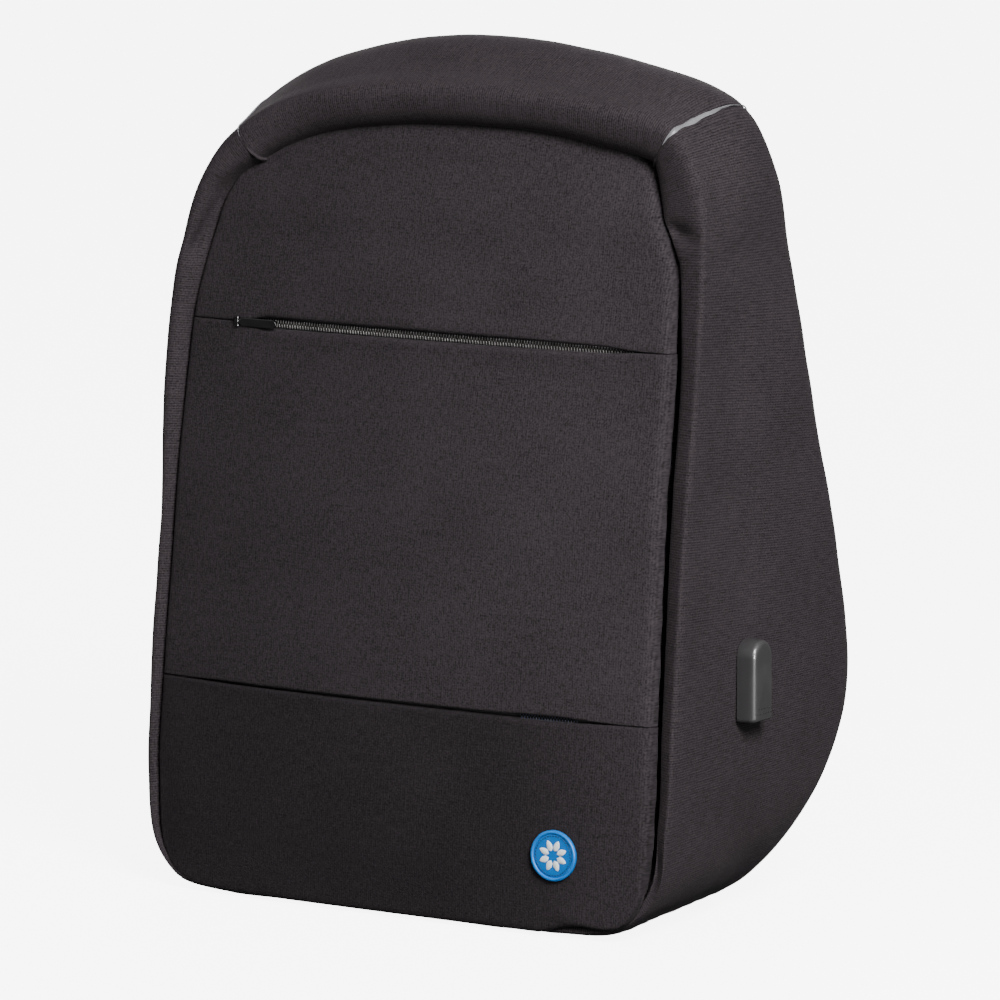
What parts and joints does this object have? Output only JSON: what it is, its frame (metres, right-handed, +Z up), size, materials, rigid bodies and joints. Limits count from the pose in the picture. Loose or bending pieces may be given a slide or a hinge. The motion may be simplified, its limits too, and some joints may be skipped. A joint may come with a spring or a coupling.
{
  "type": "laptop backpack",
  "caption": "Padded laptop backpack with a raised rim round a recessed front, a hood over the top, two front zips, a round badge and a side charging port",
  "frame": {"origin": "middle of the flat base, on the surface that the bag stands on", "axes": "+Z up along the bag's height, -Y is the front with the zips and the badge, +X is the side with the charging port"},
  "size_m": [0.3533, 0.244, 0.4615],
  "materials": {
    "shell": "padded polyester, fine heathered ribs",
    "front": "padded polyester, fine heathered twill",
    "back": "padded spacer mesh",
    "webbing": "woven webbing",
    "zip_black": "woven zip tape",
    "zip_grey": "moulded coil with light tips",
    "zip_blue": "dyed zip tape and coil",
    "zip_metal": "gloss black enamel",
    "badge_blue": "moulded rubber, matt",
    "badge_rim": "moulded rubber, satin",
    "plastic": "satin moulded plastic",
    "reflective": "retroreflective tape"
  },
  "bodies": {
    "bag": {"side_panel_right": "shell", "side_panel_left": "shell", "top_panel": "shell", "base_panel": "shell", "back_panel": "back", "front_panel_upper": "front", "front_panel_middle": "front", "front_panel_lower": "front", "main_zip": "zip_black", "reflective_strip_right": "reflective", "reflective_strip_left": "reflective", "upper_zip_tape": "zip_black", "upper_zip_coil": "zip_grey", "lower_zip_tape": "zip_blue", "zip_slider": "zip_metal", "badge_disc": "badge_blue", "badge_rim": "badge_rim", "charging_port": "plastic", "shoulder_strap_right": "back", "shoulder_strap_left": "back", "strap_adjuster_right": "plastic", "strap_adjuster_left": "plastic", "lower_webbing_right": "webbing", "lower_webbing_left": "webbing", "grab_handle": "webbing"},
    "pull": {"zip_pull": "zip_metal"}
  },
  "joints": [
    {"name": "zip_pull_hinge", "type": "hinge", "parent": "bag", "child": "pull", "pos_m": [-0.12303, -0.03716, 0.306], "axis": [0, 0, -1], "range_deg": [0, 150]}
  ]
}
